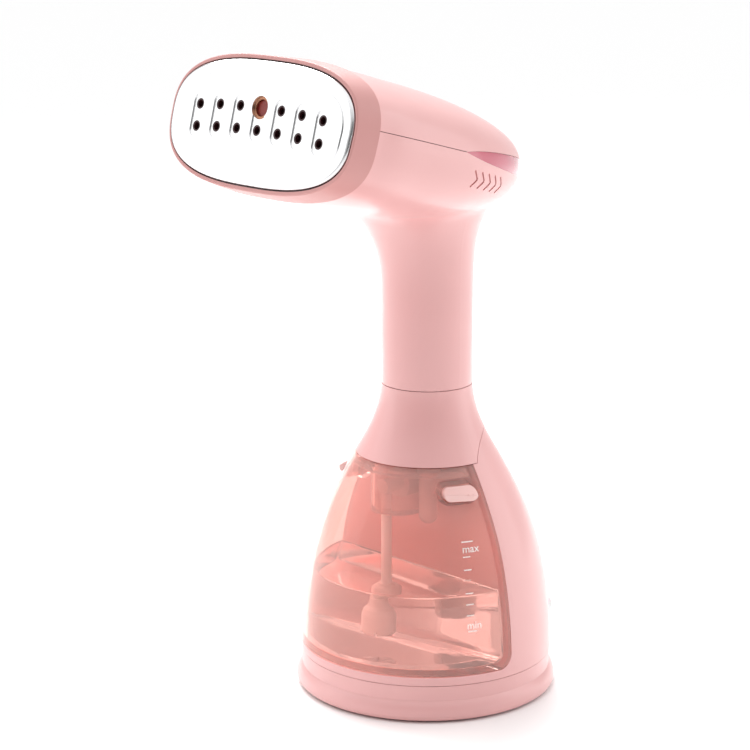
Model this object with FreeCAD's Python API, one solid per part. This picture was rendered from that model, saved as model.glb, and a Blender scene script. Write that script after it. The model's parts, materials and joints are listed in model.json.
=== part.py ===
"""Handheld garment steamer with a clip-out water tank, built as separate pieces.

Frame: millimetres, +Z up, origin at the centre of the foot ring's underside.
The soleplate faces -Y and a little upward. X is the width; the outside is symmetric about X = 0.
The head has its own frame: x as the object's X, s = depth behind the soleplate's face,
v = height in the soleplate's plane.
"""
import FreeCAD, Part

import math
import os

os.makedirs("parts", exist_ok=True)
V = FreeCAD.Vector
X_AXIS = V(1, 0, 0)
Y_AXIS = V(0, 1, 0)
Z_AXIS = V(0, 0, 1)

# ---- clearances ----
SLIDE_GAP = 0.4         # between the body and anything that moves
SEAM = 0.25             # between two outer shells of the body
SNUG = 0.05             # radial, between pieces that stay assembled

# ---- body, from the foot up ----
FLANGE_R = 55.0         # widest part of the base
BODY_R = 53.0           # wall of the body at its foot
HANDLE_R = 19.0
WALL = 2.3              # every outer plastic shell
RING_Z = 0.6            # underside of the base ring
FLANGE_TOP = 9.0
RING_TOP = 15.5         # seam between base ring and body
SILL_TOP = 19.1         # ledge that the tank stands over
NECK_BOTTOM = 101.5     # front edge of the neck collar
NECK_TOP = 131.0        # seam between neck collar and handle
# body outline: (share of the height, share of the way from handle radius to body radius)
BODY_OUTLINE = [
    (0.0, 0.998), (0.09, 1.0), (0.20, 0.981), (0.32, 0.926), (0.47, 0.803),
    (0.61, 0.604), (0.75, 0.336), (0.82, 0.193), (0.895, 0.078), (1.0, 0.004),
]

# ---- base ----
FOOT_RING_R = 46.0
FOOT_RING_WIDTH = 6.0
FOOT_RING_HEIGHT = 1.8
FOOT_GROOVE = 1.0
PLATE_T = 2.6
BASE_SCREW_CIRCLE = 35.0
BASE_SCREW_R = 1.5
BASE_SCREW_HEAD_R = 3.0
BASE_SCREW_COUNT = 3
BOSS_R = 4.0

# ---- tank ----
TANK_BACK_Y = -3.0      # plane that parts the tank from the body
TANK_BOTTOM = SILL_TOP + SLIDE_GAP
TANK_TOP = NECK_BOTTOM - SLIDE_GAP
TANK_CORNER_R = 6.0     # lower side corner, seen from the side
TANK_WALL = 2.2
LID_T = 2.0
LID_DROP = 2.2          # lid's top below the tank's rim
CUP_R = 11.2            # cup under the lid, round the water outlet
CUP_Y = -17.0
CUP_WALL = 1.6
CUP_BOTTOM = 79.0
FILLER_X = 16.8
FILLER_Y = -15.6
FILLER_R = 4.0
FILLER_LENGTH = 23.0
WATER_HOSE_R = 2.2
WATER_HOSE_BORE = 1.2
WATER_HOSE_Y = -23.4
WEIGHT_BOTTOM = 27.5
WEIGHT_R = 6.3
WEIGHT_HEIGHT = 12.5
DOCK_Z = 90.0
DOCK_R = 4.2            # nozzle that the tank slides on to
DOCK_REACH = 9.0
DOCK_SOCKET_R = 6.2
TANK_TRAVEL = 70.0

# ---- tank latches ----
LATCH_TURN = 67.5       # degrees round the body from the front
LATCH_Z = 91.6
LATCH_WIDTH = 14.4
LATCH_HEIGHT = 5.6
LATCH_BACK = 4.4        # latch's inner end, below the tank's surface
LATCH_TRAVEL = 2.0
LATCH_POCKET = 7.2      # bottom of the latch's pocket, below the tank's surface
LATCH_TOP_PROUD = 0.7   # the face leans out from here
LATCH_CREST_PROUD = 4.2  # to the finger's edge
LATCH_LOW_PROUD = 2.6
LATCH_CREST_Z = -0.6    # height of the finger's edge, from the latch's middle
LATCH_FRONT_SHARE = 0.45  # how proud the front end is, as a share of the rear end
LATCH_SPRING_R = 1.7
LATCH_BORE = 2.8        # depth of the spring's seat in the latch
LATCH_EDGE_R = 0.6
LATCH_GRIPS = (2.4, 4.7)  # places of the two grip grooves

# ---- rear of the body ----
LINER_T = 2.0
CREST_Y = 19.2          # centre and radius of the curved seam between rear housing and neck
CREST_Z = 89.9
CREST_R = 22.4
GLAND_R = 4.8
GLAND_TIP_R = 3.7
GLAND_REACH = 77.3      # rear end of the cord gland
CORD_BORE_R = 2.9
GLAND_CRADLE_Y = BODY_R - 14
CLAMP_SCREW_X = 6.5

# ---- pump and electrics ----
PUMP_X = -18.0
PUMP_Y = 21.0
PUMP_R = 9.0
PUMP_COIL = 21.0
PUMP_BOTTOM = 30.0
PUMP_HEIGHT = 38.0
HOSE_R = 3.0
HOSE_BORE = 1.6
LOOM_R = 2.2
BOARD_X = 21.0
BOARD_Y = 14.0
BOARD_WIDTH = 34.0
BOARD_HEIGHT = 42.0
BOARD_BOTTOM = 28.0

# ---- steam button ----
BUTTON_Z = 172.0
BUTTON_LENGTH = 26.0
BUTTON_WIDTH = 10.6
BUTTON_PROUD = 1.4
BUTTON_TRAVEL = 2.2
BUTTON_FLANGE = 1.4     # rim behind the handle's wall
SWITCH_LENGTH = 12.8

# ---- head ----
HEAD_TILT = 14.93       # degrees that the soleplate leans back
HEAD_A = 53.6           # half width
HEAD_B = 27.1           # half height
HEAD_ROUND = 2.45       # exponent of the oval section
HEAD_STRAIGHT = 38.0    # depth where the head starts to close
NOSE_LENGTH = 94.5      # from there to the rear end
HEAD_OVERHANG = 35.63   # rear end of the head, behind the handle's axis
HEAD_CROSSING_Z = 223.16  # height where the head's axis crosses the handle's
# centre of the soleplate's face
HEAD_Y = HEAD_OVERHANG - (HEAD_STRAIGHT + NOSE_LENGTH) * math.cos(math.radians(HEAD_TILT))
HEAD_Z = HEAD_CROSSING_Z - HEAD_Y * math.tan(math.radians(HEAD_TILT))
NOSE_RISE = 6.0
NOSE_ROUND = 2.1        # exponent of the closing curve
NOSE_STEPS = (0, 18, 34, 48, 60, 70, 78, 84)  # degrees along the closing curve
HEAD_SEAM_V = 4.4       # seam between handle shell and head cover
HEAD_FILLET = 16.0      # handle into head
THROAT_Z = 170.0        # the handle starts to widen into the head here
# throat: (height above its start, growth of the radius, shift toward the soleplate)
THROAT = [
    (-12, 0, 0), (-6, 0, 0), (0, 0, 0), (8, 0.3, 0.3), (15, 1.1, 1.0),
    (22, 2.7, 2.1), (29, 5.6, 3.6), (37, 10.0, 5.2),
]
BEZEL_FRONT = 1.3       # set back from the soleplate's face
BEZEL_DEPTH = 12.1
BEZEL_A = 54.8
BEZEL_B = 27.6
BEZEL_TAPER_A = 1.8     # its front is smaller by this
BEZEL_TAPER_B = 1.3
BEZEL_ROUND = 2.75
BEZEL_EDGE_R = 0.6
SPIGOT_GAP = 1.0        # between the bezel's spigot and the head's wall
SPIGOT_REACH = 6.0
ACCENT_TIP = 62.5
ACCENT_HALF = 3.9       # half height of the accent at the rear
ACCENT_TAPER = 19.0     # length over which it opens out
ACCENT_STATIONS = (2, 5, 10, 18, 30, 48)
ACCENT_SINK = 0.5
CHEVRONS = 5
CHEVRON_START = 73.5
CHEVRON_PITCH = 5.25
CHEVRON_V = -5.0
CHEVRON_HALF = 3.3
CHEVRON_LEAN = 3.0
CHEVRON_WIDTH = 0.9
CHEVRON_DEPTH = 0.9

# ---- soleplate ----
PLATE_A = 51.6
PLATE_B = 24.2
PLATE_THICK = 4.2
PLATE_EDGE_R = 1.2
PAD_INSET = 4.6         # margin round the raised middle
PAD_RISE = 0.4
GASKET_GAP = 0.55       # between the soleplate and the bezel
STEAM_PITCH = 11.8
STEAM_V = 4.4
STEAM_ARCH = 1.6        # the middle of each row sits this much higher than its ends
STEAM_HOLE_R = 2.15
SLOT_R = 3.3
SLOT_HALF = 8.8
SLOT_DEPTH = 0.5
SLOT_DISH = 0.42        # radius of the dished foot of each slot
SLEEVE_T = 0.6          # heat-proof sleeve in each steam hole
STEAM_COLUMNS = 7
CENTRE_HOLE_R = 4.5
OVAL_POINTS = 32

# ---- steam chamber ----
CHAMBER_A = 44.0
CHAMBER_B = 18.5
CHAMBER_DEPTH = 17.0
CHAMBER_WALL = 3.0
CHAMBER_FLOOR = 2.0
VENT_DEPTH = 1.5
VENT_B = 8.5
POOL_A = 22.0
POOL_B = 8.0
STEAM_PORT_R = 2.5
LID_PLATE = 3.0
ELEMENT_R = 3.2
ELEMENT_HALF = 26.0
SCREW_R = 1.5
SCREW_HEAD_R = 2.8
INLET_R = 2.6            # water inlet through the chamber's lid
INLET_X = -7.0


# ---------------------------------------------------------------- helpers
def box(x0, x1, y0, y1, z0, z1):
    return Part.makeBox(x1 - x0, y1 - y0, z1 - z0, V(x0, y0, z0))


def rod(radius, start, end):
    run = end.sub(start)
    return Part.makeCylinder(radius, run.Length, start, run)


def tube(radius, bore, start, end):
    return rod(radius, start, end).cut(rod(bore, start, end))


def revolved(points):
    """Solid of revolution about Z from a closed outline of (r, z) points."""
    corners = [V(r, 0, z) for r, z in points]
    face = Part.Face(Part.makePolygon(corners + corners[:1]))
    return face.revolve(V(0, 0, 0), Z_AXIS, 360)


def union(shapes):
    return shapes[0].multiFuse(shapes[1:]).removeSplitter()


def around(shape, angle):
    turned = shape.copy()
    turned.rotate(V(0, 0, 0), Z_AXIS, angle)
    return turned


def mirrored(shape):
    return shape.mirror(V(0, 0, 0), X_AXIS)


def stadium(half_width, half_length, depth):
    """Upright stadium in the XZ plane, centred on the origin, from y = 0 to y = depth."""
    top = half_length - half_width
    plate = box(-half_width, half_width, 0, depth, -top, top)
    ends = [rod(half_width, V(0, 0, z), V(0, depth, z)) for z in (-top, top)]
    return union([plate] + ends)


def rounded_route(points, bend):
    """Wire of straight runs joined by tangent arcs of one radius."""
    edges = []
    at = points[0]
    for before, corner, after in zip(points, points[1:], points[2:]):
        back = before.sub(corner).normalize()
        ahead = after.sub(corner).normalize()
        half = back.getAngle(ahead) / 2
        start = corner.add(V(back).multiply(bend / math.tan(half)))
        end = corner.add(V(ahead).multiply(bend / math.tan(half)))
        toward = back.add(ahead).normalize()
        middle = corner.add(toward.multiply(bend / math.sin(half) - bend))
        edges.append(Part.makeLine(at, start))
        edges.append(Part.Arc(start, middle, end).toShape())
        at = end
    edges.append(Part.makeLine(at, points[-1]))
    return Part.Wire(edges)


def hose(points, bend, radius, bore=0.0):
    route = rounded_route(points, bend)
    along = points[1].sub(points[0])
    solids = []
    for r in (radius, bore):
        if r:
            ring = Part.Wire(Part.makeCircle(r, points[0], along))
            solids.append(route.makePipeShell([ring], True, True))
    return solids[0].cut(solids[1]) if bore else solids[0]


def save(name, shape):
    shape.exportStep(f"parts/{name}.step")


# ---------------------------------------------------------------- body outline
def bell(inset):
    """The body's outer form, from the flange to the handle, drawn in by the inset."""
    outline = []
    for height, reach in BODY_OUTLINE:
        radius = HANDLE_R + (BODY_R - HANDLE_R) * reach - inset
        outline.append(V(radius, 0, FLANGE_TOP + (NECK_TOP - FLANGE_TOP) * height))
    side = Part.BSplineCurve()
    side.interpolate(Points=outline)
    foot = V(0, 0, outline[0].z)
    crown = V(0, 0, outline[-1].z)
    edges = [Part.makeLine(foot, outline[0]), side.toShape()]
    edges += [Part.makeLine(outline[-1], crown), Part.makeLine(crown, foot)]
    return Part.Face(Part.Wire(edges)).revolve(V(0, 0, 0), Z_AXIS, 360)


def between(z0, z1):
    reach = 2 * FLANGE_R
    return box(-reach, reach, -reach, reach, z0, z1)


def tank_space(gap):
    """Everything in front of the tank's rear plane and above its floor, grown by the gap."""
    reach = 2 * FLANGE_R
    back = TANK_BACK_Y + gap
    floor = TANK_BOTTOM - gap
    radius = TANK_CORNER_R + gap
    start = V(-reach, back - radius, floor)
    end = V(-reach, back, floor + radius)
    lean = radius * (1 - math.sqrt(0.5))
    middle = V(-reach, back - lean, floor + lean)
    top = NECK_TOP
    edges = [
        Part.makeLine(V(-reach, -reach, floor), start),
        Part.Arc(start, middle, end).toShape(),
        Part.makeLine(end, V(-reach, back, top)),
        Part.makeLine(V(-reach, back, top), V(-reach, -reach, top)),
        Part.makeLine(V(-reach, -reach, top), V(-reach, -reach, floor)),
    ]
    return Part.Face(Part.Wire(edges)).extrude(V(2 * reach, 0, 0))


def crest(grow):
    """Region under the curved seam at the rear of the neck."""
    reach = 2 * FLANGE_R
    drum = rod(CREST_R + grow, V(-reach, CREST_Y, CREST_Z), V(reach, CREST_Y, CREST_Z))
    behind = box(-reach, reach, CREST_Y, reach, 0, CREST_Z + CREST_R + grow)
    under = box(-reach, reach, -reach, reach, 0, NECK_BOTTOM - SEAM + grow)
    return union([drum, behind, under])


# ---------------------------------------------------------------- base
def base_screw_places():
    step = 360 / BASE_SCREW_COUNT
    for i in range(BASE_SCREW_COUNT):
        angle = math.radians(step * i - 90)
        yield V(BASE_SCREW_CIRCLE * math.cos(angle), BASE_SCREW_CIRCLE * math.sin(angle), 0)


def base_ring():
    lip = BODY_R - 0.1
    inner = BODY_R - WALL
    nose = V(FLANGE_R, 0, RING_Z + 2.8)
    heel = V(FLANGE_R - 1.8, 0, RING_Z)
    crease = V(lip, 0, FLANGE_TOP)
    top = V(lip, 0, RING_TOP - SEAM)
    edges = [
        Part.makeLine(V(inner, 0, RING_Z), heel),
        Part.Arc(heel, V(FLANGE_R - 0.55, 0, RING_Z + 0.75), nose).toShape(),
        Part.Arc(nose, V(FLANGE_R - 0.6, 0, (nose.z + FLANGE_TOP) / 2 + 0.6), crease).toShape(),
        Part.makeLine(crease, top),
        Part.makeLine(top, V(inner, 0, top.z)),
        Part.makeLine(V(inner, 0, top.z), V(inner, 0, RING_Z)),
    ]
    ring = Part.Face(Part.Wire(edges)).revolve(V(0, 0, 0), Z_AXIS, 360)
    return ring.cut(gland_root(SNUG))


def base_plate():
    top = RING_Z + PLATE_T
    disc = rod(BODY_R - WALL - SNUG, V(0, 0, RING_Z), V(0, 0, top))
    groove = tube(
        FOOT_RING_R + SNUG, FOOT_RING_R - FOOT_RING_WIDTH - SNUG,
        V(0, 0, RING_Z), V(0, 0, RING_Z + FOOT_GROOVE),
    )
    posts = [rod(BOSS_R, at, at.add(V(0, 0, RING_TOP - SEAM))) for at in base_screw_places()]
    cradle = box(-9, 9, GLAND_CRADLE_Y - 3, GLAND_CRADLE_Y + 3, top - 0.5, RING_TOP - CORD_BORE_R - 2.5)
    plate = union([disc, cradle] + [p.common(between(RING_Z, RING_TOP)) for p in posts])
    plate = plate.cut(groove)
    for at in base_screw_places():
        plate = plate.cut(rod(BASE_SCREW_R + SNUG, at, at.add(V(0, 0, RING_TOP - 1))))
        plate = plate.cut(rod(BASE_SCREW_HEAD_R + 0.3, at, at.add(V(0, 0, RING_Z + 1.6))))
    for side in (-1, 1):
        at = V(side * CLAMP_SCREW_X, GLAND_CRADLE_Y, 0)
        plate = plate.cut(rod(1.0, at.add(V(0, 0, top + 1)), at.add(V(0, 0, RING_TOP))))
    return plate


def foot_ring():
    return tube(
        FOOT_RING_R, FOOT_RING_R - FOOT_RING_WIDTH,
        V(0, 0, 0), V(0, 0, FOOT_RING_HEIGHT - 0.2),
    )


def base_screws():
    screws = []
    for at in base_screw_places():
        seat = at.add(V(0, 0, RING_Z + 1.6))
        head = rod(BASE_SCREW_HEAD_R, at.add(V(0, 0, RING_Z + 0.2)), seat)
        slot = box(at.x - 0.5, at.x + 0.5, at.y - 2, at.y + 2, 0, RING_Z + 0.9)
        cross = box(at.x - 2, at.x + 2, at.y - 0.5, at.y + 0.5, 0, RING_Z + 0.9)
        shank = rod(BASE_SCREW_R, seat, at.add(V(0, 0, RING_TOP - 2)))
        screws.append(union([head, shank]).cut(slot).cut(cross))
    return Part.makeCompound(screws)


# ---------------------------------------------------------------- cord inlet


def gland_root(gap):
    """Neck and flanges of the gland where base ring and rear housing close on it."""
    inner = BODY_R - WALL
    start = V(0, inner - 3, RING_TOP)
    through = rod(GLAND_R + gap, start, V(0, GLAND_REACH, RING_TOP))
    return through


def cord_gland():
    inner = BODY_R - WALL
    flange = rod(GLAND_R + 2, V(0, inner - 2.6, RING_TOP), V(0, inner - 0.7, RING_TOP))
    neck = rod(GLAND_R, V(0, inner - 2.6, RING_TOP), V(0, BODY_R + 1, RING_TOP))
    run = GLAND_REACH - BODY_R - 1
    boot = Part.makeCone(GLAND_R, GLAND_TIP_R, run, V(0, BODY_R + 1, RING_TOP), Y_AXIS)
    gland = union([flange, neck, boot])
    rims = [e for e in gland.Edges if abs(e.CenterOfMass.y - GLAND_REACH) < 0.01]
    gland = gland.makeFillet(1.2, rims[:1])
    return gland.cut(rod(CORD_BORE_R, V(0, 0, RING_TOP), V(0, GLAND_REACH + 1, RING_TOP)))


def cord_clamp():
    low = RING_TOP + CORD_BORE_R - 1.2
    y0 = GLAND_CRADLE_Y - 3
    bridge = box(-9, 9, y0, y0 + 6, low, low + 2.4)
    for side in (-1, 1):
        foot_x = side * CLAMP_SCREW_X
        foot = box(foot_x - 2.5, foot_x + 2.5, y0, y0 + 6, RING_TOP - CORD_BORE_R - 2.5, low)
        bridge = bridge.fuse(foot)
    for side in (-1, 1):
        at = V(side * CLAMP_SCREW_X, GLAND_CRADLE_Y, 0)
        bridge = bridge.cut(rod(1.0 + SNUG, at, at.add(V(0, 0, 40))))
    return bridge.removeSplitter()


def clamp_screws():
    top = RING_TOP + CORD_BORE_R + 1.2
    screws = []
    for side in (-1, 1):
        at = V(side * CLAMP_SCREW_X, GLAND_CRADLE_Y, 0)
        head = rod(2.0, at.add(V(0, 0, top)), at.add(V(0, 0, top + 1.6)))
        shank = rod(1.0, at.add(V(0, 0, 5)), at.add(V(0, 0, top)))
        screws.append(union([head, shank]))
    return Part.makeCompound(screws)


# ---------------------------------------------------------------- body shells
def rear_housing():
    skin = bell(0).cut(bell(WALL)).common(between(RING_TOP, NECK_TOP))
    skin = skin.common(crest(0)).cut(tank_space(SLIDE_GAP))
    return skin.cut(gland_root(SNUG))


def tank_bay():
    """Liner between the tank and the works: floor, rounded corners and rear panel in one sheet."""
    inside = bell(WALL + SNUG).common(between(RING_TOP + SEAM, NECK_BOTTOM - SEAM))
    liner = inside.common(tank_space(SLIDE_GAP + LINER_T)).cut(tank_space(SLIDE_GAP))
    seat = V(0, TANK_BACK_Y + SLIDE_GAP - 1, DOCK_Z)
    return liner.cut(rod(DOCK_R + SNUG, seat, seat.add(V(0, 20, 0))))


def neck_collar():
    skin = bell(0).cut(bell(WALL)).common(between(NECK_BOTTOM, NECK_TOP - SEAM))
    ceiling = bell(WALL - 0.1).common(between(NECK_BOTTOM, NECK_BOTTOM + 2))
    reach = 2 * FLANGE_R
    back = TANK_BACK_Y + SLIDE_GAP + LINER_T
    ceiling = ceiling.common(box(-reach, reach, -reach, back, 0, NECK_TOP))
    spigot_r = HANDLE_R - WALL - SNUG
    spigot = tube(spigot_r, spigot_r - 1.8, V(0, 0, NECK_TOP - 8), V(0, 0, NECK_TOP + 6))
    web = bell(1.0).cut(rod(spigot_r - 1.8, V(0, 0, 0), V(0, 0, NECK_TOP)))
    web = web.common(between(NECK_TOP - 8, NECK_TOP - 5))
    return union([skin, ceiling]).cut(crest(SEAM)).fuse([spigot, web]).removeSplitter()


# ---------------------------------------------------------------- head outlines
def in_head(shape):
    """Carry a shape from the head's own frame (x, s, v) to the object's frame."""
    placed = shape.copy()
    placed.rotate(V(0, 0, 0), X_AXIS, -HEAD_TILT)
    placed.translate(V(0, HEAD_Y, HEAD_Z))
    return placed


def head_point(x, s, v):
    tilt = math.radians(HEAD_TILT)
    y = HEAD_Y + s * math.cos(tilt) + v * math.sin(tilt)
    z = HEAD_Z - s * math.sin(tilt) + v * math.cos(tilt)
    return V(x, y, z)


def oval(a, b, exponent, s, v=0.0):
    points = []
    for i in range(OVAL_POINTS):
        turn = 2 * math.pi * i / OVAL_POINTS
        c = math.cos(turn)
        d = math.sin(turn)
        x = a * math.copysign(abs(c) ** (2 / exponent), c)
        z = b * math.copysign(abs(d) ** (2 / exponent), d)
        points.append(V(x, s, v + z))
    curve = Part.BSplineCurve()
    curve.interpolate(Points=points, PeriodicFlag=True)
    return Part.Wire(curve.toShape())


def oval_slab(a, b, exponent, s0, s1):
    return Part.Face(oval(a, b, exponent, s0)).extrude(V(0, s1 - s0, 0))


def head_form(inset, front):
    """The head's closed form in its own frame, drawn in by the inset."""
    rings = [oval(HEAD_A - inset, HEAD_B - inset, HEAD_ROUND, front)]
    middle = (front + HEAD_STRAIGHT) / 2
    rings.append(oval(HEAD_A - inset, HEAD_B - inset, HEAD_ROUND, middle))
    for degrees in NOSE_STEPS:
        turn = math.radians(degrees)
        scale = math.cos(turn) ** (2 / NOSE_ROUND)
        s = HEAD_STRAIGHT + (NOSE_LENGTH - inset) * math.sin(turn) ** (2 / NOSE_ROUND)
        rise = NOSE_RISE * (1 - scale)
        ring = oval((HEAD_A - inset) * scale, (HEAD_B - inset) * scale, HEAD_ROUND, s, rise)
        rings.append(ring)
    return Part.makeLoft(rings, True, False)


def accent_outline(shrink):
    """Lens across the rear of the head, pointed toward the front on both sides."""
    rear = HEAD_STRAIGHT + NOSE_LENGTH + 10 - ACCENT_TIP
    tip_s = ACCENT_TIP + 3 * shrink
    tip = V(-2 * HEAD_A, tip_s, HEAD_SEAM_V)
    edges = []
    ends = []
    for side in (-1, 1):
        points = [tip]
        for run in list(ACCENT_STATIONS) + [rear]:
            half = (ACCENT_HALF - shrink) * (1 - math.exp(-run / ACCENT_TAPER))
            points.append(V(-2 * HEAD_A, tip_s + run, HEAD_SEAM_V + side * half))
        curve = Part.BSplineCurve()
        curve.interpolate(Points=points)
        edges.append(curve.toShape())
        ends.append(points[-1])
    edges.append(Part.makeLine(ends[0], ends[1]))
    wire = Part.Wire(Part.__sortEdges__(edges))
    return Part.Face(wire).extrude(V(4 * HEAD_A, 0, 0))


def chevron_cutters():
    """Five small arrowheads on each side, pointing to the rear."""
    groups = []
    lean = math.hypot(CHEVRON_LEAN, CHEVRON_HALF)
    across = V(0, CHEVRON_HALF / lean, CHEVRON_LEAN / lean).multiply(CHEVRON_WIDTH / 2)
    for i in range(CHEVRONS):
        tip_s = CHEVRON_START + i * CHEVRON_PITCH
        for side in (-1, 1):
            tip = V(-2 * HEAD_A, tip_s, CHEVRON_V)
            end = V(-2 * HEAD_A, tip_s - CHEVRON_LEAN, CHEVRON_V + side * CHEVRON_HALF)
            step = V(0, across.y, side * across.z)
            corners = [tip.add(step), end.add(step), end.sub(step), tip.sub(step)]
            face = Part.Face(Part.makePolygon(corners + corners[:1]))
            groups.append(face.extrude(V(4 * HEAD_A, 0, 0)))
    return union(groups)


def throat(inset):
    """Top of the handle, widening and leaning forward into the head."""
    rings = []
    for height, growth, shift in THROAT:
        at = V(0, -shift, THROAT_Z + height)
        rings.append(Part.Wire(Part.makeCircle(HANDLE_R + growth - inset, at)))
    return Part.makeLoft(rings, True, False)


def upper_form(inset, fillet):
    """Head and handle as one closed form in the object's frame."""
    head = in_head(head_form(inset, BEZEL_DEPTH - 4))
    stem = rod(HANDLE_R - inset, V(0, 0, NECK_TOP), V(0, 0, THROAT_Z + THROAT[0][0]))
    form = stem.fuse(throat(inset)).fuse(head).removeSplitter()
    if not fillet:
        return form
    reach = 2 * HANDLE_R
    joint = [
        e for e in form.Edges
        if e.BoundBox.ZMin > THROAT_Z + 24 and e.BoundBox.ZMax < THROAT_Z + THROAT[-1][0] + 4
        and abs(e.CenterOfMass.x) < reach and abs(e.CenterOfMass.y) < reach
    ]
    return form.makeFillet(fillet, joint)


# ---------------------------------------------------------------- handle and head shells
def button_place(y):
    return V(0, y, BUTTON_Z)


def button_opening():
    slot = stadium(BUTTON_WIDTH / 2 + SLIDE_GAP, BUTTON_LENGTH / 2 + SLIDE_GAP, 2 * HANDLE_R)
    slot.translate(button_place(0))
    return slot


def upper_shell():
    hollow = upper_form(WALL, 0)
    inside = rod(HANDLE_R - WALL, V(0, 0, NECK_TOP - 1), V(0, 0, NECK_TOP + 5))
    shell = upper_form(0, HEAD_FILLET).cut(hollow).cut(inside)
    front = in_head(box(-100, 100, -50, BEZEL_DEPTH, -100, 100))
    return shell.cut(front)


def accent_space(shrink):
    return in_head(accent_outline(shrink))


def above_seam(gap):
    return in_head(box(-100, 100, -50, 250, HEAD_SEAM_V + gap, 100))


def handle_shell(shell):
    grooves = in_head(chevron_cutters().cut(head_form(CHEVRON_DEPTH, BEZEL_DEPTH - 4)))
    body = shell.cut(above_seam(-SEAM / 2)).cut(accent_space(0))
    return body.cut(grooves).cut(button_opening())


def head_cover(shell):
    return shell.common(above_seam(SEAM / 2)).cut(accent_space(0))


def accent_trim():
    skin = in_head(head_form(ACCENT_SINK, BEZEL_DEPTH).cut(head_form(WALL, BEZEL_DEPTH)))
    return skin.common(accent_space(SEAM / 2))


def bezel():
    back = BEZEL_DEPTH - SEAM
    front_wire = oval(BEZEL_A - BEZEL_TAPER_A, BEZEL_B - BEZEL_TAPER_B, BEZEL_ROUND, BEZEL_FRONT)
    outer = Part.makeLoft([front_wire, oval(BEZEL_A, BEZEL_B, BEZEL_ROUND, back)], True, True)
    opening_a = PLATE_A + GASKET_GAP
    opening_b = PLATE_B + GASKET_GAP
    opening = oval_slab(opening_a, opening_b, BEZEL_ROUND, -1, BEZEL_DEPTH + 1)
    ring = outer.cut(opening)
    front = [e for e in ring.Edges if abs(e.CenterOfMass.y - BEZEL_FRONT) < 0.01]
    rim = sorted(front, key=lambda e: e.Length)[-1:]
    ring = ring.makeFillet(BEZEL_EDGE_R, rim)
    spigot_a = HEAD_A - WALL - SPIGOT_GAP
    spigot_b = HEAD_B - WALL - SPIGOT_GAP
    spigot = oval_slab(spigot_a, spigot_b, HEAD_ROUND, back - 1, BEZEL_DEPTH + SPIGOT_REACH)
    bore = oval_slab(spigot_a - 2, spigot_b - 2, HEAD_ROUND, back - 2, BEZEL_DEPTH + SPIGOT_REACH + 1)
    land = oval_slab(BEZEL_A - 1, BEZEL_B - 1, BEZEL_ROUND, back - 1.5, back)
    return in_head(union([ring, spigot.cut(bore), land.cut(bore)]))


# ---------------------------------------------------------------- soleplate
def column_share(i):
    """-1 at the left column of holes, 0 in the middle, 1 at the right."""
    return (i - (STEAM_COLUMNS - 1) / 2) / ((STEAM_COLUMNS - 1) / 2)


def steam_places():
    for i in range(STEAM_COLUMNS):
        share = column_share(i)
        arch = STEAM_ARCH * (1 - share ** 2)
        x = share * STEAM_PITCH * (STEAM_COLUMNS - 1) / 2
        yield x, arch


def steam_holes():
    """(radius, x, v) of each hole; the large one is in the middle of the top row."""
    for i, (x, arch) in enumerate(steam_places()):
        for side in (-1, 1):
            centre = i == STEAM_COLUMNS // 2 and side > 0
            yield CENTRE_HOLE_R if centre else STEAM_HOLE_R, x, side * STEAM_V + arch


def slot_cutter(x, v):
    """Dish of one slot: a stadium with a rounded foot."""
    slot = stadium(SLOT_R, SLOT_HALF, SLOT_DEPTH + 1)
    foot = [e for e in slot.Edges if abs(e.BoundBox.YMin - SLOT_DEPTH - 1) < 0.01]
    slot = slot.makeFillet(SLOT_DISH, foot)
    slot.translate(V(x, -1, v))
    return slot


def steam_plate():
    body = oval_slab(PLATE_A, PLATE_B, BEZEL_ROUND, PAD_RISE, PLATE_THICK)
    rim = [e for e in body.Edges if abs(e.CenterOfMass.y - PAD_RISE) < 0.01]
    body = body.makeFillet(PLATE_EDGE_R, rim)
    pad = oval_slab(PLATE_A - PAD_INSET, PLATE_B - PAD_INSET, BEZEL_ROUND, 0, PAD_RISE + 1)
    edge = [e for e in pad.Edges if abs(e.CenterOfMass.y) < 0.01]
    pad = pad.makeChamfer(PAD_RISE * 0.9, edge)
    plate = body.fuse(pad)
    cuts = [slot_cutter(x, arch) for x, arch in steam_places()]
    cuts += [rod(radius, V(x, -1, v), V(x, PLATE_THICK + 1, v)) for radius, x, v in steam_holes()]
    return in_head(plate.cut(union(cuts)))


def port_sleeves():
    """Heat-proof sleeve in each small steam hole."""
    sleeves = []
    for radius, x, v in steam_holes():
        if radius == STEAM_HOLE_R:
            outer = radius - SNUG
            ends = [V(x, s, v) for s in (SLOT_DEPTH + 0.1, PLATE_THICK - 0.1)]
            sleeves.append(in_head(tube(outer, outer - SLEEVE_T, ends[0], ends[1])))
    return Part.makeCompound(sleeves)


def soleplate_gasket():
    inner = oval_slab(PLATE_A + SNUG, PLATE_B + SNUG, BEZEL_ROUND, 0, 10)
    outer_a = PLATE_A + GASKET_GAP - SNUG
    outer_b = PLATE_B + GASKET_GAP - SNUG
    ring = oval_slab(outer_a, outer_b, BEZEL_ROUND, PAD_RISE + PLATE_EDGE_R + 0.3, PLATE_THICK + 1)
    return in_head(ring.cut(inner))


def centre_place(s):
    return V(0, s, STEAM_V + STEAM_ARCH)


def centre_bush():
    wall = 1.1
    outer = CENTRE_HOLE_R - SNUG
    ring = tube(outer, outer - wall, centre_place(SLOT_DEPTH + 0.6), centre_place(PLATE_THICK))
    return in_head(ring)


def centre_plug():
    radius = CENTRE_HOLE_R - 1.1 - 2 * SNUG
    disc = rod(radius, centre_place(SLOT_DEPTH + 1.6), centre_place(PLATE_THICK))
    return in_head(disc)


# ---------------------------------------------------------------- steam chamber
def chamber_back():
    return PLATE_THICK + CHAMBER_DEPTH


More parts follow.
